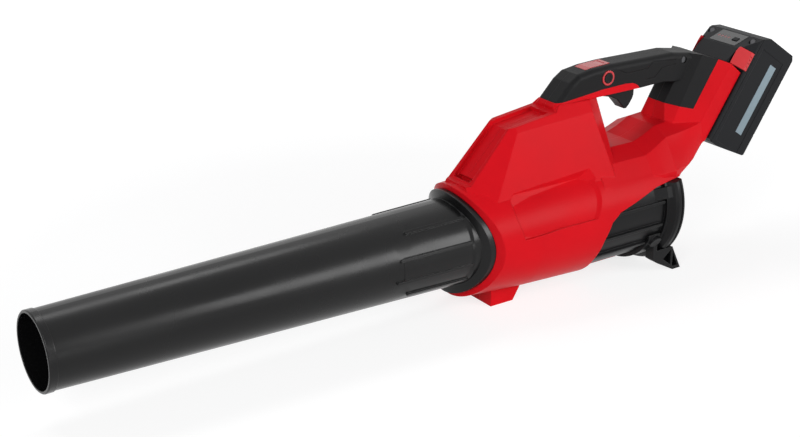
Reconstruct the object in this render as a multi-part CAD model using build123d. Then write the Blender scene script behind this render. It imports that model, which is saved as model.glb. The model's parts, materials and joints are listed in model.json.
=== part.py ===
from build123d import *
import math
import os

# Handheld battery leaf blower, in millimetres.
# The model is drawn about the air axis: X runs backwards from the collar, Z is up, and the
# operator's left side is -Y. The last section moves it to stand on Z = 0, centred in X and Y.

# ---------------------------------------------------------------- driving dimensions
WALL = 2.6                    # moulded wall of the housing halves
GAP = 0.4                     # clearance between parts that move apart

MOUTH_X = -508.0              # front end of the nozzle tube
MOUTH_R = 39.4                # outside of the bead at the mouth
MOUTH_BORE_R = 36.5           # straight bore inside the mouth
MOUTH_BORE_LENGTH = 40.0
BEAD_LENGTH = 8.0
TUBE_FRONT_R = 38.5           # tapered tube, just behind the bead
TUBE_REAR_R = 47.2            # tapered tube, at the flange
TUBE_WALL = 2.4
FLANGE_X = -53.0              # foremost point of the flange, on the centre line
FLANGE_R = 56.5
FLANGE_BAND = 6.5             # length of the flange along X
SWEEP_R = 90.0                # plan radius of the collar line, which sweeps back at the sides
NECK_R = 48.5                 # plug-in neck behind the flange
NECK_END_X = -18.5
KEY_R = 51.6                  # keys on the neck, outside
KEY_COUNT = 3
KEY_ARC = 24.0                # degrees that one key covers
KEY_FRONT_X = -33.0

LIP_R = 61.0                  # housing, at the collar
DUCT_MID_R = 66.7             # housing, above the front foot
DUCT_REAR_R = 70.3            # housing, at the fan
GROUND = -80.5                # underside of the feet, below the air axis

FAN_SHELL_R = 65.5            # black fan housing, outside
FAN_BORE_R = 63.0             # black fan housing, inside
FAN_FRONT_X = 107.0
FAN_REAR_X = 224.0
RING_R = 77.0                 # rolled ring round the intake
FLARE_X = 203.0               # from here the fan housing widens towards the intake
FLARE_R = 69.4
GUARD_R = 67.1                # finger guard in the intake

DUCT_BORE_R = 60.5            # air path between the collar and the fan
IMPELLER_R = 62.2
HUB_R = 29.0
BLADES = 11
VANES = 9
IMPELLER_X = 176.0            # middle of the blades
SHAFT_R = 4.0
BEARING_BORE_R = 4.03         # running fit on the shaft
BEARING_R = 11.0

HANDLE_HALF = 17.5            # half the width of the grip
HANDLE_ROUND = 7.0            # rounding along the top of the grip
RUBBER = 3.0                  # thickness of the soft overmould

PACK_TILT = 34.0              # the battery leans back from upright by this angle
PACK_ORIGIN = (290.0, 0.0, 61.0)   # lower end of the battery's sliding face
PACK_HALF = 40.5              # half the width of the battery
PACK_LENGTH = 135.0
PACK_DEPTH = 71.0
CELL_R = 10.5                 # 21 x 70 mm lithium cell
CELL_LENGTH = 70.0
TONGUE_HALF = 22.0            # rail tongue on the battery
TONGUE_HEIGHT = 13.0
RAIL_DEPTH = 3.0

SCREW_R = 2.0
SCREW_HEAD_R = 3.6

# ---------------------------------------------------------------- frames and small helpers
SIN_TILT = math.sin(math.radians(PACK_TILT))
COS_TILT = math.cos(math.radians(PACK_TILT))

# Battery frame: local X runs up the sliding face, local Z points away from the tool.
PACK_FRAME = Plane(origin=PACK_ORIGIN, x_dir=(SIN_TILT, 0, COS_TILT), z_dir=(COS_TILT, 0, -SIN_TILT))


def outline(points):
    """Closed face in the XZ plane from (x, z) points."""
    return Plane.XZ * make_face(Polyline(*points, close=True))


def slab(points, half_width):
    """Side view outline, extruded to both sides of the middle plane."""
    return extrude(outline(points), amount=half_width, both=True)


def spin(points):
    """Solid of revolution about the air axis from (x, radius) points."""
    return revolve(outline(points), axis=Axis.X)


def rod(x_from, x_to, radius, y=0.0, z=0.0):
    """Round bar along X."""
    place = Plane(origin=(x_from, y, z), x_dir=(0, 1, 0), z_dir=(1, 0, 0))
    return place * extrude(Circle(radius), amount=x_to - x_from)


def tube(x_from, x_to, outer, inner):
    """Hollow round bar along X on the air axis."""
    return rod(x_from, x_to, outer) - rod(x_from - 1, x_to + 1, inner)


def block(x_range, y_range, z_range):
    """Box from its three ranges."""
    size = [high - low for low, high in (x_range, y_range, z_range)]
    middle = [(high + low) / 2 for low, high in (x_range, y_range, z_range)]
    return Pos(*middle) * Box(*size)


def cross_bar(x, z, radius, y_from, y_to):
    """Round bar along Y."""
    place = Plane(origin=(x, y_from, z), x_dir=(1, 0, 0), z_dir=(0, 1, 0))
    return place * extrude(Circle(radius), amount=y_to - y_from)


def mirrored(shape):
    """The shape and its mirror image across the middle plane."""
    return shape + mirror(shape, about=Plane.XZ)


def cut_by(shape, origin, normal):
    """Remove what lies on the normal's side of a plane, on both sides of the middle plane."""
    plane = Plane(origin=origin, z_dir=normal)
    once = split(shape, bisect_by=plane, keep=Keep.BOTTOM)
    return split(mirror(once, about=Plane.XZ), bisect_by=plane, keep=Keep.BOTTOM)


def around(shape, count, start=0.0):
    """Copies of a shape about the air axis."""
    return [Rot(start + 360 / count * number, 0, 0) * shape for number in range(count)]


def in_pack(shape):
    """Move a shape drawn in the battery frame to its place."""
    return PACK_FRAME.location * shape


def swept_front(x_front, depth):
    """Everything behind a vertical arc that bulges forwards at the middle plane."""
    drum = Pos(x_front + SWEEP_R, 0, 0) * Cylinder(SWEEP_R, 400)
    return drum + block((x_front + SWEEP_R, x_front + SWEEP_R + depth), (-SWEEP_R, SWEEP_R), (-200, 200))


# ---------------------------------------------------------------- nozzle
def tube_radius(x):
    """Outside radius of the tapered tube."""
    share = (x - MOUTH_X - BEAD_LENGTH) / (FLANGE_X - MOUTH_X - BEAD_LENGTH)
    return TUBE_FRONT_R + (TUBE_REAR_R - TUBE_FRONT_R) * share


TAPER = math.degrees(math.atan((TUBE_REAR_R - TUBE_FRONT_R) / (FLANGE_X - MOUTH_X - BEAD_LENGTH)))
GRIP_RIBS = [(39, -124), (73, -138), (102, -143), (128, -126)]   # angle from the top, front end X


def grip_rib(angle, x_front):
    """Raised bar on the tube with a rounded front end."""
    length = FLANGE_X + 4 - x_front
    bar = Pos(x_front + length / 2, 0, 0) * extrude(SlotOverall(length, 3.6), amount=4.2)
    tilted = Rot(0, -TAPER, 0) * (Pos(-x_front, 0, 0) * bar)
    return Rot(angle, 0, 0) * (Pos(x_front, 0, tube_radius(x_front) - 2.4) * tilted)


def grip_pad():
    """Slightly raised field for the fine texture between the two middle ribs of one side."""
    x_front, x_rear = -134, FLANGE_X + 3
    skin = spin([(x_front, tube_radius(x_front) - 1), (x_front, tube_radius(x_front) + 0.6),
                 (x_rear, tube_radius(x_rear) + 0.6), (x_rear, tube_radius(x_rear) - 1)])
    wedge = Rot(87.5, 0, 0) * block((x_front - 5, FLANGE_X + 20), (-14, 14), (20, 70))
    return skin & wedge


def nozzle_tube():
    """Tapered tube with a bead at the mouth, grip ribs, a swept flange and a keyed plug-in neck."""
    bead_end = MOUTH_X + BEAD_LENGTH
    body = spin([(MOUTH_X, MOUTH_BORE_R), (MOUTH_X, MOUTH_R - 1), (MOUTH_X + 1, MOUTH_R), (bead_end, MOUTH_R),
                 (bead_end, TUBE_FRONT_R), (FLANGE_X + 2, TUBE_REAR_R), (FLANGE_X + 6, NECK_R),
                 (NECK_END_X, NECK_R), (NECK_END_X, NECK_R - TUBE_WALL), (FLANGE_X + 6, NECK_R - TUBE_WALL),
                 (FLANGE_X, TUBE_REAR_R - TUBE_WALL), (MOUTH_X + MOUTH_BORE_LENGTH, MOUTH_BORE_R)])
    cheek = spin([(FLANGE_X - 8, 45.5), (FLANGE_X - 8, FLANGE_R), (FLANGE_X + 34, FLANGE_R),
                  (FLANGE_X + 34, 47.6)])
    flange = cheek & (swept_front(FLANGE_X, 60) - swept_front(FLANGE_X + FLANGE_BAND, 60))
    half_chord = KEY_R * math.sin(math.radians(KEY_ARC / 2))
    key = tube(KEY_FRONT_X, NECK_END_X - 1.5, KEY_R, NECK_R - 1)
    key = key & block((-60, 0), (-half_chord, half_chord), (40, 60))
    ribs = [grip_rib(side * angle, x) for side in (1, -1) for angle, x in GRIP_RIBS]
    clear = rod(MOUTH_X, NECK_END_X, 44)
    body = body + flange + around(key, KEY_COUNT)
    return body + [rib - clear for rib in ribs] + mirrored(grip_pad())


# ---------------------------------------------------------------- housing form
# Side outline of the red housing, handle left out, anticlockwise from the foot of the collar.
HOUSING_SIDE = [(-60, -71), (108, -71), (108, -40), (113, -15), (122, 5), (134, 14), (160, 21), (190, 30),
                (231, 35), (262, 43), (288.5, 58.6), (336.5, 129.8), (321, 143), (240, 131), (84, 131),
                (78.5, 124.8), (26, 118.4), (17, 116.8), (-33, 63.8), (-60, 62)]


def housing_side(inset):
    """Slab that bounds the red housing in the side view."""
    return extrude(offset(outline(HOUSING_SIDE), amount=-inset, kind=Kind.INTERSECTION), amount=90, both=True)


def duct_form(inset):
    """Round body about the air axis."""
    return spin([(-60, 1), (-60, LIP_R - inset), (-40, LIP_R + 1 - inset), (28, DUCT_MID_R - inset),
                 (130, DUCT_REAR_R - inset), (226, DUCT_REAR_R - inset), (252, 58 - inset), (252, 1)])


def upper_form(inset):
    """Faceted fairing that rises from the duct to the front of the handle."""
    body = slab([(-38, 0), (-38, 70), (20, 130), (150 - inset, 145), (150 - inset, 0)], 64)
    side_normal = Vector(-0.069, -1, 0.315).normalized()
    side_origin = Vector(0, -57.4, 0) - side_normal * inset
    body = cut_by(body, side_origin, side_normal)
    cheek_normal = Vector(-0.463, -0.747, 0.478).normalized()
    cheek_origin = Vector(-33, -20, 63.6) - cheek_normal * inset
    body = cut_by(body, cheek_origin, cheek_normal)
    band_normal = Vector(-0.077, -0.84, 0.537).normalized()
    band_origin = Vector(26, -20, 118.4) - band_normal * inset
    body = cut_by(body, band_origin, band_normal)
    rear_normal = Vector(0.595, -0.71, 0.376).normalized()
    rear_origin = Vector(122.1, -28.2, 119.5) - rear_normal * inset
    return cut_by(body, rear_origin, rear_normal)


# Cross-sections of the bridge behind the hand gap: X, top, shoulder (y, z), flank (y, z).
BRIDGE = [(120, 71, 43, 61, 57, 41), (190, 71, 43, 61, 57, 41), (205, 76, 42, 67, 60, 41),
          (222, 84, 40, 75, 61, 42), (262, 87, 38, 78, 46, 40), (285, 90, 36, 82, 36, 50)]
BRIDGE_TOP_HALF = 21.5


def bridge_form(inset):
    """Lower deck under the handle, lofted through faceted sections."""
    faces = []
    for x, top, shoulder_y, shoulder_z, flank_y, flank_z in BRIDGE:
        right = [(BRIDGE_TOP_HALF - inset * 0.4, top - inset), (shoulder_y - inset, shoulder_z - inset * 0.7),
                 (flank_y - inset, flank_z), (flank_y - inset, 5)]
        left = [(-y, z) for y, z in reversed(right)]
        place = Plane(origin=(x, 0, 0), x_dir=(0, 1, 0), z_dir=(1, 0, 0))
        faces.append(place * make_face(Polyline(*right, *left, close=True)))
    return loft(faces, ruled=True)


def column_form(inset):
    """Sloping column that carries the battery, widening from the handle to the sliding face."""
    section = [(-80, 17.5), (-35, 30), (-20, 36.5), (0, 37)]
    half = [(h, y - inset) for h, y in section]
    ring = half + [(h, -y) for h, y in reversed(half)]
    face = make_face(Polyline(*[(y, h) for h, y in ring], close=True))
    low_end = PACK_FRAME.from_local_coords(Vector(-45, 0, 0))
    start = Plane(origin=low_end, x_dir=(0, -1, 0), z_dir=PACK_FRAME.x_dir)
    bar = extrude(start * face, amount=150)
    front_normal = Vector(-0.6, -0.7, 0.36).normalized()
    bar = cut_by(bar, Vector(250, -13, 117) - front_normal * inset, front_normal)
    bounds = [(233, 60), (243, 105.5), (256.5, 128), (250, 132), (250, 161.3), (287, 155.8), (303, 150.5),
              (321, 143), (336.5, 129.8), (288.5, 58.6), (262, 44)]
    inner = offset(outline(bounds), amount=-inset, kind=Kind.INTERSECTION)
    return bar & extrude(inner, amount=60, both=True)


HANDLE_SIDE = [(79, 112), (78.6, 129), (100.5, 151.5), (112, 158.8), (133, 161.8), (160, 163), (250, 162),
               (287, 156), (290, 130), (250, 129.5), (236, 131.8), (217, 131.2), (202, 130.6), (138, 130.4),
               (120, 129.6), (120, 112)]


def handle_form(inset):
    """Grip with rounded long edges."""
    face = offset(outline(HANDLE_SIDE), amount=-inset, kind=Kind.INTERSECTION)
    half = HANDLE_HALF - inset
    bar = extrude(face, amount=half, both=True)
    top_edges = bar.edges().filter_by(lambda edge: abs(edge.center().Y) > half - 0.1)
    top_edges = top_edges.filter_by(lambda edge: edge.center().Z > 140 and edge.center().X < 286 - inset)
    return fillet(top_edges, radius=HANDLE_ROUND - inset)


def foot_form(inset):
    """Block under the collar that the tool stands on."""
    bottom = GROUND + inset
    side = [(-4 + inset, -58), (-4 + inset, bottom), (26 - inset, bottom), (35 - inset, -66),
            (35 - inset, -58)]
    return slab(side, 20.5 - inset)


def lower_form(inset, column_inset):
    """Duct, fairing, bridge, front foot and battery column."""
    low = duct_form(inset) + upper_form(inset) + bridge_form(inset)
    return (low & housing_side(inset)) + foot_form(inset) + column_form(column_inset)


# ---------------------------------------------------------------- housing details
GRIP_SIDE = [(60, 131.6), (76, 131.9), (113, 135), (145, 138), (178, 139), (189, 138), (196, 134.5),
             (202, 128), (202, 110), (230, 104.5), (243, 104.5), (272, 96.5), (312, 157.6), (312, 175),
             (60, 175)]
CHANNEL_SIDE = [(-29, 68), (-25.7, 65), (20.5, 112.9), (26.6, 113.9), (72, 119.5), (71, 135), (-29, 135)]
CHANNEL_HALF = 14.5
VENT_SIDE = [(-31.7, 66.7), (-27.6, 71), (-22.1, 65.9), (-18, 70.2), (-14.7, 67.2), (-21.6, 59.9),
             (-25.1, 60.5)]
# Recessed side panel: X and height up the side, at its foot and at its wider mouth.
PANEL_FLOOR = [(7, -20), (1, 22), (6, 28), (94, 28), (101, 22), (93, -18), (52, -19.5)]
PANEL_MOUTH = [(1, -29.6), (-9.5, 24.4), (9, 37), (110.5, 37), (120.5, 24.4), (111, -21.6), (52, -19.3)]
PANEL_DEPTH = 2.8
TRIGGER_SLOT = ((152, 203.5), (-8.5, 8.5), (118, 152))
LOCK_X, LOCK_Z = 152.0, 149.8
LOCK_RING_R = 8.3
LOCK_BORE_R = 6.1
REAR_SCREW = (265.0, 152.0)
CASE_SCREWS = [(12, 92), (126, 106), (130, 141), (232, 147), (258, 92), (11, -72.5)]   # x, z
SCREW_SEAT_Y = 6.0
SCREW_TIP_Y = -12.0
PIN_X, PIN_Z, PIN_R = 159.0, 140.0, 2.0
COLLAR_REAR_X = -26.4
BOARD_Z = 80.0
MOUNT_HALF = 30.0             # battery mount, half width
MOUNT_DEPTH = 19.0


def grip_core(inset):
    """Handle and column, set in."""
    return handle_form(inset) + column_form(inset)


def grip_skin():
    """Soft overmould, both halves."""
    return (grip_core(0) & slab(GRIP_SIDE, 60)) - grip_core(RUBBER)


def side_panel(floor, margin):
    """Bevelled prism over the bare recessed panel of one side, down to a floor below the round surface."""
    normal = Vector(0, -0.884, 0.467)
    faces = []
    for points, distance in ((PANEL_FLOOR, 60 - margin), (PANEL_MOUTH, 72)):
        frame = Plane(origin=normal * distance, x_dir=(1, 0, 0), z_dir=normal)
        face = offset(make_face(Polyline(*points, close=True)), amount=margin, kind=Kind.INTERSECTION)
        faces.append(frame * face)
    return loft(faces, ruled=True) - duct_form(floor)


def channel(margin):
    """Recess down the front slope and over the top, with a blind vent pocket at its foot."""
    groove = extrude(offset(outline(CHANNEL_SIDE), amount=margin, kind=Kind.INTERSECTION),
                     amount=CHANNEL_HALF + margin, both=True)
    vent = extrude(offset(outline(VENT_SIDE), amount=margin, kind=Kind.INTERSECTION),
                   amount=CHANNEL_HALF - 1 + margin, both=True)
    return groove + vent


def boss(x, z, radius):
    """Screw pillar across the housing."""
    return cross_bar(x, z, radius, -60, 60)


def keyways():
    """Slots in the collar that the keys of the nozzle slide in."""
    half_chord = KEY_R * math.sin(math.radians(KEY_ARC / 2)) + GAP
    slot = block((-70, COLLAR_REAR_X), (-half_chord, half_chord), (40, KEY_R + GAP))
    return around(slot, KEY_COUNT)


def mount_pocket():
    """Rear opening for the battery mount."""
    return in_pack(block((5, 95), (-MOUNT_HALF, MOUNT_HALF), (-MOUNT_DEPTH, 10)))


def housing():
    """Both red halves as one shell, before it is parted down the middle."""
    body = lower_form(0, 0) & swept_front(FLANGE_X + FLANGE_BAND + 0.8, 500)
    body = body + handle_form(0)
    cavity = lower_form(WALL, WALL + RUBBER) & block((COLLAR_REAR_X, 400), (-90, 90), (-90, 200))
    cavity = cavity & (swept_front(FLANGE_X + FLANGE_BAND + 0.8 + 2 * WALL, 500) + rod(COLLAR_REAR_X, 30, 53))
    cavity = cavity + handle_form(WALL + RUBBER)
    cavity = cavity - channel(WALL) - mirrored(side_panel(PANEL_DEPTH + WALL, WALL))
    pillars = [boss(x, z, 4.6) & body for x, z in [*CASE_SCREWS, REAR_SCREW, (PIN_X, PIN_Z)]]
    shelves = [block((x, x + 3), (-60, 60), (BOARD_Z - 5, BOARD_Z)) & body for x in (46, 100)]
    cradles = [tube(x, x + 2.4, 66, duct_skin(x + 2.4)) & body for x in (0, 40)]
    body = body - cavity + pillars + shelves + cradles
    body = body - grip_skin() - channel(0) - mirrored(side_panel(PANEL_DEPTH, 0))
    body = body - rod(-80, COLLAR_REAR_X, NECK_R + GAP) - keyways()
    body = body - rod(FAN_FRONT_X - 4, FAN_REAR_X + GAP, FAN_SHELL_R + GAP) - block(*TRIGGER_SLOT)
    body = body - rod(FLARE_X - GAP, FAN_REAR_X + GAP, FLARE_R + GAP)
    tongue = tube(106, 183, DUCT_REAR_R, FAN_SHELL_R + GAP) & block((100, 190), (-12, 12), (-90, -60))
    body = body + tongue - mount_pocket()
    body = body - cross_bar(LOCK_X, LOCK_Z, LOCK_RING_R, -30, -9)
    return body - cross_bar(*REAR_SCREW, 4.0, -50, -13) - cross_bar(PIN_X, PIN_Z, PIN_R + 0.02, -11.7, 11.7)


def case_half(shell, side):
    """One half of the housing with its screw holes; side is -1 for the left."""
    half = shell & block((-100, 400), tuple(sorted((0, side * 100))), (-120, 200))
    for x, z in CASE_SCREWS:
        half = half - cross_bar(x, z, SCREW_R, SCREW_TIP_Y - 1, 60)
        half = half - cross_bar(x, z, SCREW_HEAD_R + 0.3, SCREW_SEAT_Y, 60)
    return half - cross_bar(*REAR_SCREW, SCREW_R, -50, 12)


def case_screw(x, z, seat, tip, head):
    """Pan-head screw along Y."""
    shank = cross_bar(x, z, SCREW_R, *sorted((seat, tip)))
    return shank + cross_bar(x, z, SCREW_HEAD_R, *sorted((seat, head)))


def housing_screws():
    """Screws that hold the halves together."""
    screws = [case_screw(x, z, SCREW_SEAT_Y, SCREW_TIP_Y, SCREW_SEAT_Y + 3) for x, z in CASE_SCREWS]
    return screws + [case_screw(*REAR_SCREW, -13, 11, -16)]


BADGE_SIDE = [(126, 159.4), (126, 161.0), (133, 162.2), (160.5, 163.5), (160.5, 161.7), (133, 160.4)]
GRIP_LINES = [[(156, 161), (179, 151), (210, 151.7), (217, 158), (252, 155)],
              [(207, 139), (221.5, 140), (231.5, 149), (252, 150)]]


def grip_groove(points):
    """Thin groove in the side faces of the overmould."""
    face = outline(points + [(x, z - 0.9) for x, z in reversed(points)])
    return extrude(face, amount=30, both=True) - extrude(face, amount=HANDLE_HALF - 0.7, both=True)


def grip_half(skin, side):
    """One half of the soft overmould."""
    half = skin & block((60, 320), tuple(sorted((0, side * 60))), (80, 180))
    half = half - slab(BADGE_SIDE, 9.0) - block(*TRIGGER_SLOT)
    for points in GRIP_LINES:
        half = half - grip_groove(points)
    if side < 0:
        return half - cross_bar(LOCK_X, LOCK_Z, LOCK_RING_R, -30, -9) - cross_bar(*REAR_SCREW, 4.0, -50, -13)
    for x, z in CASE_SCREWS:
        half = half - cross_bar(x, z, SCREW_HEAD_R + 0.3, SCREW_SEAT_Y, 60)
    return half


def badge_plate():
    """Bare plate on top of the grip."""
    return slab(BADGE_SIDE, 8.9) - block((131, 156), (-6.5, 6.5), (162.9, 170))


def lock_button_bezel():
    """Ring round the lock-on button."""
    ring = cross_bar(LOCK_X, LOCK_Z, LOCK_RING_R - 0.05, -18.2, -9.4)
    return ring - cross_bar(LOCK_X, LOCK_Z, LOCK_BORE_R, -30, 0)


def lock_on_button():
    """Button with a retaining flange behind the bezel."""
    stem = cross_bar(LOCK_X, LOCK_Z, 5.6, -18.8, -7.2)
    dish = cross_bar(LOCK_X, LOCK_Z, 3.6, -20, -18.2)
    return stem + cross_bar(LOCK_X, LOCK_Z, 7.0, -9.0, -7.2) - dish


# ---------------------------------------------------------------- trigger and switch
TRIGGER_SIDE = [(155, 140), (155, 126), (166, 123.5), (176, 118.5), (183, 111), (187, 106.4), (190, 106.2),
                (194, 110), (197.5, 115), (199.5, 121), (199.5, 141), (166, 142.3), (162.5, 143.2), (159, 144),
                (156, 143)]
TRIGGER_HALF = 8.0
PLUNGER_X = 190.0
PLUNGER_R = 2.0


def trigger():
    """Rocking trigger, hollow from above."""
    body = slab(TRIGGER_SIDE, TRIGGER_HALF)
    edges = body.edges().filter_by(lambda edge: abs(edge.center().Y) > TRIGGER_HALF - 0.1)
    edges = edges.filter_by(lambda edge: edge.center().Z < 125 and edge.center().X < 196)
    body = fillet(edges, radius=1.0)
    hollow = [(168, 150), (168, 127), (179, 121), (186, 113.5), (190, 111.5), (196.5, 123), (196.5, 150)]
    pocket = slab(hollow, 5.8)
    pad = block((186, 194), (-6, 6), (138, 141.2))
    return body - pocket + pad - cross_bar(PIN_X, PIN_Z, PIN_R + 0.06, -20, 20)


def trigger_pin():
    """Cross pin that the trigger rocks on."""
    return cross_bar(PIN_X, PIN_Z, PIN_R, -11.6, 11.6)


def upright(x, radius, z_from, z_to, y=0.0):
    """Round bar along Z."""
    return Pos(x, y, z_from) * extrude(Circle(radius), amount=z_to - z_from)


def switch_module():
    """Sealed speed switch with an arm over the trigger."""
    body = block((205, 226.5), (-9.5, 9.5), (138.5, 155.5)) + block((176, 206), (-9.5, 9.5), (149.4, 156.4))
    ribs = [block((x, x + 1.5), (-10.4, 10.4), (139, 155)) for x in (208, 214, 220)]
    return body + ribs - upright(PLUNGER_X, PLUNGER_R + 0.05, 140, 170)


def switch_plunger():
    """Plunger that the trigger pushes up into the switch."""
    return upright(PLUNGER_X, PLUNGER_R, 141.6, 150.4) + upright(PLUNGER_X, PLUNGER_R + 0.6, 141.6, 143)


def wire(points, radius):
    """Insulated lead with mitred bends."""
    path = Polyline(*points)
    section = Plane(origin=path @ 0, z_dir=path % 0) * RegularPolygon(radius, 6)
    return sweep(section, path=path, transition=Transition.RIGHT)


def control_board():
    """Potted motor controller in its tray, with a finned heat sink."""
    tray = block((40, 110), (-23, 23), (BOARD_Z, BOARD_Z + 12))
    tray = tray - block((42, 108), (-21, 21), (BOARD_Z + 9, 120))
    fins = [block((50, 92), (y - 0.8, y + 0.8), (BOARD_Z + 8, BOARD_Z + 17)) for y in range(-16, 17, 4)]
    parts = [block((97, 104), (y - 3, y + 3), (BOARD_Z + 8, BOARD_Z + 14)) for y in (-13, -4, 5)]
    return tray + fins + parts


def board_leads():
    """Leads from the switch and the battery to the controller, and from the controller to the motor."""
    signal = wire([(176, 6, 153), (118, 6, 150.6), (103, 6, 134), (99, 10, BOARD_Z + 9)], 1.3)
    supply = wire([(306.5, 3, 123.2), (286, 3, 139), (226.5, 3, 141)], 1.3)
    return [signal, supply, mirror(supply, about=Plane.XZ)]


def motor_leads():
    """Three phase leads from the motor up to the controller."""
    paths = [[(130 + step, 0, 30.8), (130 + step, 0, BOARD_Z + 5 + step), (110.4, 0, BOARD_Z + 5 + step)]
             for step in (-2, 0, 2)]
    return [wire(path, 0.85) for path in paths]


# ---------------------------------------------------------------- air path and fan
DUCT_FRONT_X = -18.1
DUCT_FRONT_R = 46.1
DUCT_STRAIGHT_X = 107.0
DUCT_SPIGOT_R = 62.7          # plugs into the front of the fan housing


def duct_skin(x):
    """Outside radius of the conical part of the air duct."""
    share = (x - DUCT_FRONT_X - 3) / (DUCT_STRAIGHT_X - DUCT_FRONT_X - 3)
    return 49 + (DUCT_SPIGOT_R - 49) * share


def air_duct():
    """Cone between the fan housing and the collar."""
    return spin([(DUCT_FRONT_X, DUCT_FRONT_R), (DUCT_STRAIGHT_X, DUCT_BORE_R), (112, DUCT_BORE_R),
                 (112, DUCT_SPIGOT_R), (DUCT_STRAIGHT_X, DUCT_SPIGOT_R), (DUCT_FRONT_X + 3, 49),
                 (DUCT_FRONT_X + 3, 52), (DUCT_FRONT_X, 52)])


def shell_rib(angle, x_from, x_to):
    """Raised bar along the outside of the fan housing."""
    bar = extrude(SlotOverall(x_to - x_from, 3.4), amount=4.6)
    return Rot(angle, 0, 0) * (Pos((x_from + x_to) / 2, 0, FAN_SHELL_R - 1) * bar)


def ring_pad(angle):
    """Wedge that braces the intake ring."""
    return Rot(angle, 0, 0) * slab([(189, 60), (189, 65.5), (202, 73), (212, 73), (212, 60)], 6.5)


def fan_housing():
    """Tube round the fan; the rolled intake ring, ribs and braces stop where the red cover begins."""
    core = rod(FAN_FRONT_X, FAN_REAR_X, FAN_SHELL_R) + rod(FLARE_X, FAN_REAR_X, FLARE_R)
    ring = spin([(204, 60), (204, FAN_SHELL_R), (207, 70.5), (210.5, 75.6), (214, RING_R), (217.5, RING_R),
                 (218.2, 75.6), (219.4, 75.6), (220, RING_R), (222, RING_R), (FAN_REAR_X, 75), (FAN_REAR_X, 60)])
    outside = []
    for side in (1, -1):
        for angle, x_to in ((80.5, 201), (103, 200), (123, 184)):
            outside.append(shell_rib(side * angle, 110, x_to))
        outside.append(ring_pad(side * 72))
    body = core + ((ring + outside) - housing_side(-GAP))
    bore = spin([(FAN_FRONT_X - 1, 0), (FAN_FRONT_X - 1, FAN_BORE_R), (204, FAN_BORE_R), (216, 65.6),
                 (216, GUARD_R + 0.1), (FAN_REAR_X + 1, GUARD_R + 0.1), (FAN_REAR_X + 1, 0)])
    return body - bore - upright(130, 3.4, 50, 80)


def intake_guard():
    """Finger guard of rings and spokes."""
    guard = tube(216.1, 222, GUARD_R, GUARD_R - 3) + rod(215.8, 222.4, 13)
    rings = [tube(217, 221, radius + 0.9, radius - 0.9) for radius in (24, 35, 46)]
    spokes = around(block((216.6, 221.4), (-1.2, 1.2), (11, GUARD_R - 2)), 8)
    return guard + rings + spokes


def rear_foot():
    """Saddle under the fan housing with two round bosses and two splayed legs with truss pockets."""
    saddle = tube(185, 202.5, 70.5, 60) & block((180, 206), (-62, 62), (-80, -28))
    bosses = [Rot(side * 122, 0, 0) * upright(196, 7.5, 60, 73) for side in (1, -1)]
    leg_side = [(197, -42), (226, -50), (241, GROUND), (229, GROUND), (204, -67), (197, -62)]
    legs = slab(leg_side, 58) - slab(leg_side, 46)
    pockets = slab([(213, -64), (225, -55), (225, -73.5)], 70)
    pockets = pockets + slab([(228, -58), (228, -76.5), (236, -76.5)], 70)
    pockets = pockets - block((190, 250), (-51, 51), (-100, 0))
    body = saddle + bosses + (legs - pockets) - rod(202.6, 227, RING_R + GAP)
    return body - rod(180, 260, FAN_SHELL_R + 0.02)


def motor_mount():
    """Motor cup carried by curved stator vanes inside an outer ring."""
    vane_line = [(120, 0), (130, 0.5), (141, 3.2), (154, 9.5)]
    face = make_face(Polyline(*vane_line, *[(x, y + 2.2) for x, y in reversed(vane_line)], close=True))
    vanes = around(Pos(0, -3, 31) * extrude(face, amount=31), VANES, 20)
    ring = tube(118, 156, FAN_BORE_R - 0.05, 61)
    body = tube(96, 158, 33, 30.5) + rod(96, 99, 33) + tube(98, 106, 13.5, BEARING_R)
    body = body + ring + [vane & tube(110, 160, 62, 32) for vane in vanes] + upright(130, 3.8, 31.5, 61.5)
    return body - upright(130, 3.1, 20, 80)


def motor_end_plate():
    """Rear bearing plate of the motor."""
    plate = tube(144.5, 147.5, 30.4, 7) + tube(147, 154.5, 13.5, BEARING_R)
    return plate - around(block((140, 150), (-4, 4), (17, 25)), 6)


def bearing(x_from):
    """Sealed ball bearing."""
    return tube(x_from, x_from + 7, BEARING_R, BEARING_BORE_R)


def motor_stator():
    """Laminated stator ring with six teeth."""
    teeth = around(block((110, 138), (-3, 3), (13.5, 27)), 6, 30)
    wedge = extrude(make_face(Polyline((0, 0), (7.5, 20), (-7.5, 20), close=True)), amount=28)
    shoe = Plane(origin=(110, 0, 0), x_dir=(0, 1, 0), z_dir=(1, 0, 0)) * wedge
    shoes = [piece & tube(110, 138, 15.5, 12.9) for piece in around(shoe, 6, 30)]
    return tube(110, 138, 30.4, 25.5) + [tooth - rod(100, 150, 12.9) for tooth in teeth] + shoes


def motor_windings():
    """Copper coils round the stator teeth."""
    coil = block((106.5, 141.5), (-6.2, 6.2), (16, 24.4)) - block((109.9, 138.1), (-3.1, 3.1), (10, 30))
    return around(coil, 6, 30)


def tail_cone():
    """Hollow fairing in front of the motor."""
    return spin([(95.9, 33), (62, 28.8), (16, 7), (16, 0), (18.5, 0), (18.5, 5.5), (62, 26.2), (95.9, 30.4)])


def blade_face(radius, chord, stagger, camber, thick):
    """Arched blade section at one radius, turned to its stagger angle."""
    front, arch, rear = -chord / 2, -chord / 10, chord / 2
    face = make_face(Polyline((front, 0.3 * thick), (arch, camber + thick), (rear, 0.3 * thick),
                              (rear, -0.3 * thick), (arch, camber - 0.3 * thick), (front, -0.3 * thick),
                              close=True))
    place = Plane(origin=(IMPELLER_X, 0, radius), x_dir=(1, 0, 0), z_dir=(0, 0, 1))
    return place * Rot(0, 0, stagger) * face


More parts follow.
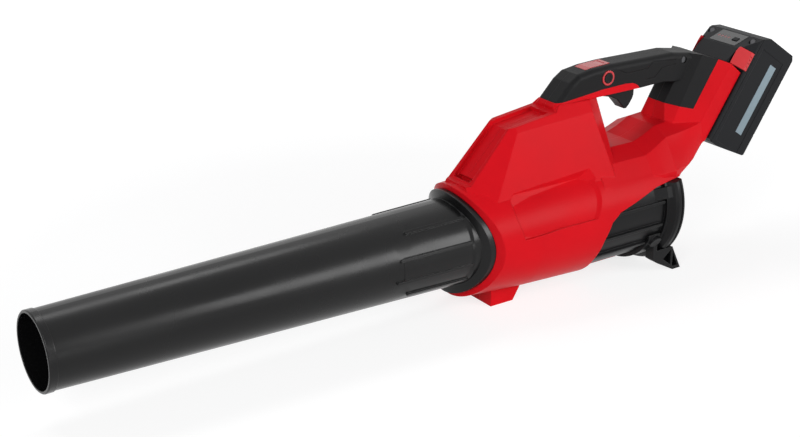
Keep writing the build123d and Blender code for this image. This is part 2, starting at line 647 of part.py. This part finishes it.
def impeller():
    """Axial fan: cup-shaped hub and twisted, cambered blades."""
    hub = spin([(162, 27.4), (162, HUB_R), (190, HUB_R), (197, 24.5), (203, 15), (206, 4), (206, 0), (200.3, 0),
                (200.3, SHAFT_R), (170, SHAFT_R), (170, 9), (187, 9), (187, 27.4)])
    blade = loft([blade_face(27, 30, 36, 3.0, 1.6), blade_face(64, 42, 60, 2.0, 1.0)], ruled=True)
    blade = (blade & tube(155, 200, IMPELLER_R, 28)).solids()[0]
    return hub + around(blade, BLADES)


def motor_rotor():
    """Magnet rotor on the shaft."""
    body = tube(108, 140, 12, SHAFT_R)
    return body - around(block((100, 150), (-0.6, 0.6), (11, 14)), 6)


def motor_shaft():
    """Steel shaft through the motor and the impeller."""
    return rod(99.4, 200, SHAFT_R)


# ---------------------------------------------------------------- battery mount on the tool
BLADE_YS = [-15.0, -5.0, 5.0, 15.0]


def battery_mount():
    """Black channel with two rails that the battery slides on."""
    body = block((5.3, 84), (-29.7, 29.7), (-18.7, -0.3))
    channel_cut = block((10, 100), (-22.6, 22.6), (-14.6, 5))
    rails = mirrored(block((10, 84), (19.5, 23), (-7.5, -3.5)))
    stops = [block((10, 60), (y - 1, y + 1), (-14.7, -13.9)) for y in (-10, 0, 10)]
    body = body - channel_cut + rails + stops
    body = body & column_form(0.3).moved(PACK_FRAME.location.inverse())
    for y in BLADE_YS:
        body = body - block((4, 11), (y - 0.4, y + 0.4), (-12.6, -6))
    return in_pack(body)


def tool_terminals():
    """Four spade terminals that enter the battery."""
    return [in_pack(block((5.5, 25), (y - 0.4, y + 0.4), (-12.6, -6))) for y in BLADE_YS]


# ---------------------------------------------------------------- battery
PACK_WALL = 2.2
SEAM = 5.0
PACK_SIDE = [(0, 0.5), (-2, 8), (-2, 20), (1.3, 41), (5.3, 65), (11, PACK_DEPTH), (124, PACK_DEPTH), (129, 68),
             (135, 63), (135, 16), (128.5, 4.5), (106.5, -13), (86, -19.5), (86, 0.5)]
CELL_COLUMNS = [17.5 + 21.5 * number for number in range(5)]
CELL_ROWS = [16.0, 37.1, 58.2]
LATCH_L = (87.0, 109.0)
GAUGE_PLANE = Plane(origin=(117.5, 0, -4.25), x_dir=(0.783, 0, 0.623), z_dir=(0.623, 0, -0.783))
GAUGE_BUTTON_Y = (-14.6, -7.4)
LED_YS = [0.0, 5.0, 10.0, 15.0]
PACK_SCREWS = [(121, 32), (121, -32)]   # along the pack, across


def pack_form(inset):
    """Battery block with a sloping head, bevelled along its edges."""
    face = offset(outline(PACK_SIDE), amount=-inset, kind=Kind.INTERSECTION)
    body = extrude(face, amount=PACK_HALF - inset, both=True)
    for y, h, normal_y, normal_h in ((26, -19, 0.823, -0.568), (40.5, 67, 0.707, 0.707)):
        origin = (0, y - normal_y * inset, h - normal_h * inset)
        body = cut_by(body, origin, (0, normal_y, normal_h))
    return body


def battery_base_case():
    """Deep half of the battery case."""
    body = pack_form(0) & block((-50, 200), (-60, 60), (SEAM, 100))
    cavity = pack_form(PACK_WALL) & block((-50, 200), (-60, 60), (SEAM - 1, 100))
    posts = [Pos(x, y, SEAM) * extrude(Circle(4), amount=PACK_DEPTH - SEAM - 1) for x, y in PACK_SCREWS]
    body = body - cavity + posts
    body = body - mirrored(block((3, 120), (PACK_HALF - 0.5, 60), (12, 55)))
    body = body - mirrored(block((24, 111), (PACK_HALF - 0.9, 60), (36, 47.5)))
    for x in (33, 57, 80, 103):
        body = body - mirrored(block((x - 1.1, x + 1.1), (PACK_HALF - 1.5, 60), (64, 80)))
    body = body - mirrored(block((-10, 200), (PACK_HALF - 0.5, 60), (SEAM, SEAM + 1)))
    holes = [Pos(x, y, 0) * extrude(Circle(SCREW_R), amount=17) for x, y in PACK_SCREWS]
    return in_pack(body - holes)


def battery_stripe():
    """Plain coloured bands let into the sides of the battery."""
    band = block((24, 111), (PACK_HALF - 0.9, PACK_HALF - 0.4), (36, 47.5))
    return in_pack(mirrored(band))


def gauge_block(u_range, y_range, depth_range):
    """Box drawn in the frame of the sloping charge panel."""
    return GAUGE_PLANE.location * block(u_range, y_range, depth_range)


def battery_top_case():
    """Shallow half of the battery case with the rail tongue and the head."""
    lid_space = block((-50, 200), (-60, 60), (-50, SEAM))
    body = (pack_form(0) & lid_space) - (pack_form(PACK_WALL) & block((-50, 200), (-60, 60), (-50, SEAM + 1)))
    tongue = block((12, 86.5), (-TONGUE_HALF, TONGUE_HALF), (-TONGUE_HEIGHT, 1))
    tongue = tongue - mirrored(block((0, 86), (TONGUE_HALF - RAIL_DEPTH, 30), (-8, -3)))
    body = body + tongue
    for y in BLADE_YS:
        body = body - block((11, 32), (y - 1.5, y + 1.5), (-20, -4))
    body = body - mirrored(block((LATCH_L[0] - GAP, LATCH_L[1] + GAP), (27.6, 60), (-30, 3.4)))
    body = body - gauge_block((-12, 12), (-20, 20), (-1, 20))
    body = body - gauge_block((-3.4, 3.4), (GAUGE_BUTTON_Y[0] - GAP, GAUGE_BUTTON_Y[1] + GAP), (-6, 5))
    for x, y in PACK_SCREWS:
        body = body + (Pos(x, y, -6) * extrude(Circle(4.8), amount=11) & pack_form(0))
        body = body - Pos(x, y, -12) * extrude(Circle(SCREW_HEAD_R + 0.3), amount=14.5)
        body = body - Pos(x, y, -12) * extrude(Circle(SCREW_R), amount=30)
    return in_pack(body)


def battery_screws():
    """Case screws of the battery."""
    return [in_pack(Rot(90, 0, 0) * case_screw(x, y, 2.5, 15, -0.5)) for x, y in PACK_SCREWS]


def battery_cells():
    """Lithium cells, five along and three deep."""
    half = CELL_LENGTH / 2
    return [in_pack(cross_bar(l, h, CELL_R, -half, half)) for l in CELL_COLUMNS for h in CELL_ROWS]


def cell_carriers():
    """End plates that hold the cells, with a window over every cell."""
    plate = block((10, 115), (CELL_LENGTH / 2, CELL_LENGTH / 2 + 1.6), (6, 66.2))
    for l in CELL_COLUMNS:
        for h in CELL_ROWS:
            plate = plate - block((l - 6, l + 6), (30, 40), (h - 6, h + 6))
    return [in_pack(plate), in_pack(mirror(plate, about=Plane.XZ))]


def battery_terminals():
    """Sprung clips in the slots of the tongue."""
    clips = []
    for y in BLADE_YS:
        for side in (1, -1):
            leaf = block((15, 28), tuple(sorted((y + side * 0.75, y + side * 1.25))), (-11.5, -4))
            clips.append(in_pack(leaf))
    return clips


def gauge_panel():
    """Bare panel round the charge lights."""
    panel = gauge_block((-11.9, 11.9), (-19.9, 19.9), (-1, 0.3))
    panel = panel - gauge_block((-3.4, 3.4), (GAUGE_BUTTON_Y[0] - GAP, GAUGE_BUTTON_Y[1] + GAP), (-6, 5))
    for y in LED_YS:
        panel = panel - gauge_block((-2, 2), (y - 1.4, y + 1.4), (-5, 5))
    return in_pack(panel)


def gauge_leds():
    """Four charge lights."""
    return [in_pack(gauge_block((-2, 2), (y - 1.4, y + 1.4), (-1, 0.2))) for y in LED_YS]


def gauge_button():
    """Button that lights the charge display."""
    low, high = GAUGE_BUTTON_Y
    flange = gauge_block((-4.4, 4.4), (low - 1.4, high + 1.4), (-3.6, -2.6))
    return in_pack(gauge_block((-3, 3), (low, high), (-3.6, 1.2)) + flange)


def battery_board():
    """Circuit board of the battery."""
    board = gauge_block((-11, 11), (-18, 18), (-7.4, -5.8))
    places = ((0, 8), (-6, -8), (5, -4))
    chips = [gauge_block((x - 2, x + 2), (y - 3, y + 3), (-8.6, -7.2)) for x, y in places]
    return in_pack(board + chips)


def latch(side):
    """Release latch on one side of the battery head."""
    body = pack_form(-1.8) & block(LATCH_L, (30, PACK_HALF), (-30, 3))
    body = body - [block((x, x + 1.2), (PACK_HALF - 0.6, 60), (-5, 2)) for x in (91, 95, 99, 103)]
    body = body + block((LATCH_L[1] - 2, LATCH_L[1] + 3), (30, 34), (-1.5, 2.6))
    if side < 0:
        body = mirror(body, about=Plane.XZ)
    return in_pack(body)


# ---------------------------------------------------------------- assembly
def all_nodes():
    """Every named node as one shape."""
    shell = housing()
    skin = grip_skin()
    return {
        "housing_left": case_half(shell, -1), "housing_right": case_half(shell, 1),
        "housing_screws": housing_screws(),
        "grip_left": grip_half(skin, -1), "grip_right": grip_half(skin, 1),
        "badge_plate": badge_plate(),
        "lock_button_bezel": lock_button_bezel(), "lock_on_button": lock_on_button(),
        "trigger": trigger(), "trigger_pin": trigger_pin(),
        "switch_module": switch_module(), "switch_plunger": switch_plunger(),
        "control_board": control_board(), "board_leads": board_leads(), "motor_leads": motor_leads(),
        "nozzle_tube": nozzle_tube(), "air_duct": air_duct(),
        "fan_housing": fan_housing(), "intake_guard": intake_guard(), "rear_foot": rear_foot(),
        "motor_mount": motor_mount(), "motor_end_plate": motor_end_plate(), "tail_cone": tail_cone(),
        "front_bearing": bearing(99), "rear_bearing": bearing(147.5),
        "motor_stator": motor_stator(), "motor_windings": motor_windings(),
        "motor_rotor": motor_rotor(), "motor_shaft": motor_shaft(), "impeller": impeller(),
        "battery_mount": battery_mount(), "tool_terminals": tool_terminals(),
        "battery_base_case": battery_base_case(), "battery_top_case": battery_top_case(),
        "battery_stripe": battery_stripe(), "battery_screws": battery_screws(),
        "battery_cells": battery_cells(), "cell_carriers": cell_carriers(), "battery_board": battery_board(),
        "battery_terminals": battery_terminals(), "gauge_panel": gauge_panel(), "gauge_leds": gauge_leds(),
        "gauge_button": gauge_button(), "latch_left": latch(1), "latch_right": latch(-1),
    }


nodes = {name: Part() + piece for name, piece in all_nodes().items()}
boxes = [shape.bounding_box() for shape in nodes.values()]
middle_x = (min(box.min.X for box in boxes) + max(box.max.X for box in boxes)) / 2
os.makedirs("parts", exist_ok=True)
for name, shape in nodes.items():
    placed = [solid.moved(Pos(-middle_x, 0, -GROUND)) for solid in shape.solids()]
    export_step(Compound(placed), f"parts/{name}.step")
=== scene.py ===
import json
import math

import bpy
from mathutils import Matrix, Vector

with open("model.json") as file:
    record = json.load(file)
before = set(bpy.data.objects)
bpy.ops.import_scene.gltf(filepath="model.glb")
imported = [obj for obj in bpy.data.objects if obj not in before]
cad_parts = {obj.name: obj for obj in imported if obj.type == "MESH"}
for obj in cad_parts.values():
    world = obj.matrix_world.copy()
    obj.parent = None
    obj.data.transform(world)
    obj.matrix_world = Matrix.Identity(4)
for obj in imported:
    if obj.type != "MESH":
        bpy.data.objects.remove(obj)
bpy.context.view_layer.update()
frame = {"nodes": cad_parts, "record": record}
scene = bpy.context.scene

COLOR_SPREAD = 0.05           # share by which a moulded colour varies over the surface
GLOSS_SPREAD = 0.05           # the same for its roughness
GRAIN_HEIGHT = 0.0006         # metres, moulded grain
BRUSH_HEIGHT = 0.0004         # metres, marks on metal
BEVEL_SAMPLES = 6
COAT_ROUGHNESS = 0.2


# ---------------------------------------------------------------- materials
def new_material(name):
    """Empty node material with a principled shader; returns material, nodes, links, shader."""
    material = bpy.data.materials.new(name)
    material.use_nodes = True
    nodes, links = material.node_tree.nodes, material.node_tree.links
    return material, nodes, links, nodes["Principled BSDF"]


def node(nodes, kind, **values):
    """Add a node and set its inputs by name."""
    made = nodes.new(kind)
    for key, value in values.items():
        made.inputs[key.replace("_", " ")].default_value = value
    return made


def ramp(nodes, low, high, low_at=0.3, high_at=0.7):
    """Two-stop colour ramp; by default it spans the middle of a noise texture."""
    made = nodes.new("ShaderNodeValToRGB")
    made.color_ramp.elements[0].position = low_at
    made.color_ramp.elements[0].color = low
    made.color_ramp.elements[1].position = high_at
    made.color_ramp.elements[1].color = high
    return made


def grey(value):
    """Neutral colour with full alpha."""
    return (value, value, value, 1)


def moulded(name, color, rough, grain=900.0, depth=0.04, edge=0.0009, wear=0.25, coat=0.0, specular=0.5):
    """Moulded plastic or rubber: fine grain, softened and slightly paler edges, uneven colour and gloss."""
    material, nodes, links, shader = new_material(name)
    place = nodes.new("ShaderNodeTexCoord")
    cloud = node(nodes, "ShaderNodeTexNoise", Scale=14.0, Detail=3.0)
    fine = node(nodes, "ShaderNodeTexNoise", Scale=grain, Detail=2.0, Roughness=0.6)
    for texture in (cloud, fine):
        links.new(place.outputs["Object"], texture.inputs["Vector"])
    dark = tuple(channel * (1 - COLOR_SPREAD) for channel in color) + (1,)
    light = tuple(min(1, channel * (1 + COLOR_SPREAD)) for channel in color) + (1,)
    tint = ramp(nodes, dark, light)
    links.new(cloud.outputs["Fac"], tint.inputs["Fac"])
    soft = nodes.new("ShaderNodeBevel")
    soft.samples = BEVEL_SAMPLES
    soft.inputs["Radius"].default_value = edge
    geometry = nodes.new("ShaderNodeNewGeometry")
    corner = nodes.new("ShaderNodeVectorMath")
    corner.operation = "DOT_PRODUCT"
    links.new(soft.outputs["Normal"], corner.inputs[0])
    links.new(geometry.outputs["Normal"], corner.inputs[1])
    edges = ramp(nodes, grey(wear), grey(0), 0.80, 0.99)
    links.new(corner.outputs["Value"], edges.inputs["Fac"])
    worn = nodes.new("ShaderNodeMix")
    worn.data_type = "RGBA"
    worn.inputs["B"].default_value = tuple(min(1, channel * 1.25 + 0.02) for channel in color) + (1,)
    links.new(edges.outputs["Color"], worn.inputs["Factor"])
    links.new(tint.outputs["Color"], worn.inputs["A"])
    links.new(worn.outputs["Result"], shader.inputs["Base Color"])
    gloss = ramp(nodes, grey(rough - GLOSS_SPREAD), grey(rough + GLOSS_SPREAD))
    links.new(cloud.outputs["Fac"], gloss.inputs["Fac"])
    links.new(gloss.outputs["Color"], shader.inputs["Roughness"])
    bump = node(nodes, "ShaderNodeBump", Strength=depth, Distance=GRAIN_HEIGHT)
    links.new(fine.outputs["Fac"], bump.inputs["Height"])
    links.new(soft.outputs["Normal"], bump.inputs["Normal"])
    links.new(bump.outputs["Normal"], shader.inputs["Normal"])
    shader.inputs["Coat Weight"].default_value = coat
    shader.inputs["Coat Roughness"].default_value = COAT_ROUGHNESS
    shader.inputs["Specular IOR Level"].default_value = specular
    return material


def metal(name, color, rough, brush=(1.0, 60.0, 60.0)):
    """Machined or plated metal with fine directional marks."""
    material, nodes, links, shader = new_material(name)
    place = nodes.new("ShaderNodeTexCoord")
    stretch = nodes.new("ShaderNodeMapping")
    stretch.inputs["Scale"].default_value = brush
    marks = node(nodes, "ShaderNodeTexNoise", Scale=60.0, Detail=4.0)
    links.new(place.outputs["Object"], stretch.inputs["Vector"])
    links.new(stretch.outputs["Vector"], marks.inputs["Vector"])
    gloss = ramp(nodes, grey(rough - 0.08), grey(rough + 0.1))
    tint = ramp(nodes, tuple(channel * 0.9 for channel in color) + (1,), color + (1,))
    bump = node(nodes, "ShaderNodeBump", Strength=0.06, Distance=BRUSH_HEIGHT)
    links.new(marks.outputs["Fac"], gloss.inputs["Fac"])
    links.new(marks.outputs["Fac"], tint.inputs["Fac"])
    links.new(marks.outputs["Fac"], bump.inputs["Height"])
    links.new(gloss.outputs["Color"], shader.inputs["Roughness"])
    links.new(tint.outputs["Color"], shader.inputs["Base Color"])
    links.new(bump.outputs["Normal"], shader.inputs["Normal"])
    shader.inputs["Metallic"].default_value = 1.0
    return material


RED = (0.64, 0.006, 0.012)
BLACK = (0.007, 0.007, 0.0075)
finishes = {
    "red_plastic": moulded("red_shell", RED, 0.34, depth=0.03, edge=0.0014, wear=0.3, specular=0.05),
    "tube_black": moulded("tube_black", (0.004, 0.004, 0.0042), 0.27, grain=1400, edge=0.001, specular=0.26),
    "black_plastic": moulded("black_plastic", BLACK, 0.42, grain=1100, depth=0.08, specular=0.14),
    "fan_black": moulded("fan_black", BLACK, 0.34, grain=1100, depth=0.06, edge=0.0012, specular=0.14),
    "grip_rubber": moulded("grip_rubber", (0.009, 0.009, 0.0095), 0.46, grain=1600, depth=0.12,
                           edge=0.0012, specular=0.10),
    "badge_red": moulded("badge_red", (0.52, 0.006, 0.012), 0.22, depth=0.01, edge=0.0005, coat=0.3),
    "lead_black": moulded("lead_sleeve", (0.012, 0.012, 0.012), 0.45, depth=0.03, edge=0.0002),
    "pack_black": moulded("pack_case", (0.010, 0.0105, 0.012), 0.44, grain=1200, depth=0.08,
                          edge=0.0012, specular=0.10),
    "stripe_grey": moulded("side_band", (0.20, 0.27, 0.31), 0.40, depth=0.02, edge=0.0002),
    "latch_red": moulded("latch_red", (0.55, 0.010, 0.016), 0.36, depth=0.05, edge=0.0007),
    "carrier_white": moulded("cell_carrier", (0.72, 0.71, 0.66), 0.5, depth=0.05, edge=0.0005),
    "led_clear": moulded("charge_lamp", (0.22, 0.012, 0.014), 0.18, depth=0.01, edge=0.0002, coat=0.5),
    "panel_black": moulded("charge_panel", (0.010, 0.010, 0.011), 0.25, depth=0.02, edge=0.0004,
                           coat=0.4),
    "board_green": moulded("circuit_board", (0.02, 0.12, 0.05), 0.35, grain=300, depth=0.10,
                           edge=0.0003),
    "pin_steel": metal("bright_steel", (0.60, 0.60, 0.61), 0.28),
    "screw_steel": metal("black_steel", (0.09, 0.09, 0.095), 0.38),
    "aluminium": metal("cast_aluminium", (0.72, 0.72, 0.73), 0.42),
    "lamination": metal("laminated_steel", (0.34, 0.35, 0.37), 0.40, brush=(90.0, 1.0, 1.0)),
    "copper": metal("enamelled_copper", (0.78, 0.32, 0.12), 0.30, brush=(90.0, 1.0, 90.0)),
    "cell_steel": metal("cell_can", (0.55, 0.57, 0.60), 0.33),
    "terminal_nickel": metal("plated_terminal", (0.80, 0.72, 0.50), 0.25),
}
# Nodes whose finish differs from the rest of their material slot.
own_finish = {"nozzle_tube": "tube_black", "fan_housing": "fan_black", "rear_foot": "fan_black"}
slot_of = {entry["node"]: entry["material_slot"] for entry in frame["record"]["subparts"]}
for name, part in frame["nodes"].items():
    part.data.materials.clear()
    part.data.materials.append(finishes[own_finish.get(name, slot_of[name])])


# ---------------------------------------------------------------- studio
def lamp(name, place, size, power, target=(0, 0, 0.1)):
    """Rectangular white soft box aimed at a point."""
    data = bpy.data.lights.new(name, "AREA")
    data.shape = "RECTANGLE"
    data.size, data.size_y = size
    data.energy = power
    light = bpy.data.objects.new(name, data)
    light.location = place
    light.rotation_euler = (Vector(place) - Vector(target)).to_track_quat("Z", "Y").to_euler()
    scene.collection.objects.link(light)
    light.visible_camera = False


def seen_directly(tree, links):
    """1 for camera, mirrored and refracted rays, which show the backdrop; 0 for the light it gives."""
    path = tree.nodes.new("ShaderNodeLightPath")
    value = path.outputs["Is Camera Ray"]
    for name in ("Is Glossy Ray", "Is Transmission Ray"):
        larger = tree.nodes.new("ShaderNodeMath")
        larger.operation = "MAXIMUM"
        links.new(value, larger.inputs[0])
        links.new(path.outputs[name], larger.inputs[1])
        value = larger.outputs[0]
    return value


def backdrop(tree, links, lit, shown, output):
    """The shown shader where the backdrop is seen, the lit one for the light it gives."""
    mix = tree.nodes.new("ShaderNodeMixShader")
    links.new(seen_directly(tree, links), mix.inputs["Fac"])
    links.new(lit, mix.inputs[1])
    links.new(shown, mix.inputs[2])
    links.new(mix.outputs[0], output.inputs["Surface"])


lamp("key_box", (1.35, -2.0, 1.0), (1.5, 0.9), 32)
lamp("front_box", (-1.9, -1.3, 1.3), (0.9, 0.9), 26)
lamp("top_box", (-0.2, 0.9, 2.0), (2.2, 0.5), 15)
lamp("low_strip", (-0.6, -2.2, 0.15), (1.6, 0.25), 5, target=(-0.1, 0, 0.1))

# World: faint cool fill for the object, plain white where it is seen.
world = bpy.data.worlds.new("studio")
scene.world = world
world.use_nodes = True
tree = world.node_tree
fill = tree.nodes["Background"]
fill.inputs["Color"].default_value = (0.92, 0.94, 1.0, 1)
fill.inputs["Strength"].default_value = 0.12
white = tree.nodes.new("ShaderNodeBackground")
white.inputs["Color"].default_value = grey(1)
backdrop(tree, tree.links, fill.outputs[0], white.outputs[0], tree.nodes["World Output"])

# Floor: pale grey paper for the light; where it is seen, near white with a faint shadow that fades out.
FLOOR_HALF = 3.0              # metres
FADE_FROM, FADE_TO = 0.5, 1.4  # metres from the middle
PAPER_NEAR = 0.80             # brightness the paper has of itself within the fade
PAPER_SHADE = 0.30            # share of the light that it adds, and that a shadow takes away
floor_mesh = bpy.data.meshes.new("floor")
corners = [(x * FLOOR_HALF, y * FLOOR_HALF, 0) for x, y in ((-1, -1), (1, -1), (1, 1), (-1, 1))]
floor_mesh.from_pydata(corners, [], [(0, 1, 2, 3)])
floor = bpy.data.objects.new("floor", floor_mesh)
scene.collection.objects.link(floor)
material, nodes, links, shader = new_material("floor_white")
shader.inputs["Base Color"].default_value = grey(0.85)
shader.inputs["Roughness"].default_value = 0.6
reach = node(nodes, "ShaderNodeMapRange", From_Min=FADE_FROM, From_Max=FADE_TO, To_Min=PAPER_NEAR, To_Max=1.0)
spot = nodes.new("ShaderNodeTexCoord")
distance = nodes.new("ShaderNodeVectorMath")
distance.operation = "LENGTH"
links.new(spot.outputs["Object"], distance.inputs[0])
links.new(distance.outputs["Value"], reach.inputs["Value"])
paper = nodes.new("ShaderNodeEmission")
links.new(reach.outputs["Result"], paper.inputs["Strength"])
shade = node(nodes, "ShaderNodeBsdfDiffuse", Color=grey(PAPER_SHADE))
sheet = nodes.new("ShaderNodeAddShader")
links.new(paper.outputs[0], sheet.inputs[0])
links.new(shade.outputs[0], sheet.inputs[1])
backdrop(material.node_tree, links, shader.outputs[0], sheet.outputs[0], nodes["Material Output"])
floor_mesh.materials.append(material)

# ---------------------------------------------------------------- camera
turn, rise = math.radians(-34.32), math.radians(21.86)    # azimuth and elevation
away = 1.53675                                            # metres
target = Vector((-0.0642, 0, 0.11974))
back = Vector((math.sin(turn) * math.cos(rise), -math.cos(turn) * math.cos(rise), math.sin(rise)))
camera_data = bpy.data.cameras.new("camera")
camera_data.sensor_width = 36
camera_data.lens = 67.32
camera = bpy.data.objects.new("camera", camera_data)
camera.location = target + back * away
camera.rotation_euler = back.to_track_quat("Z", "Y").to_euler()
scene.collection.objects.link(camera)
scene.camera = camera
scene.view_settings.view_transform = "Standard"
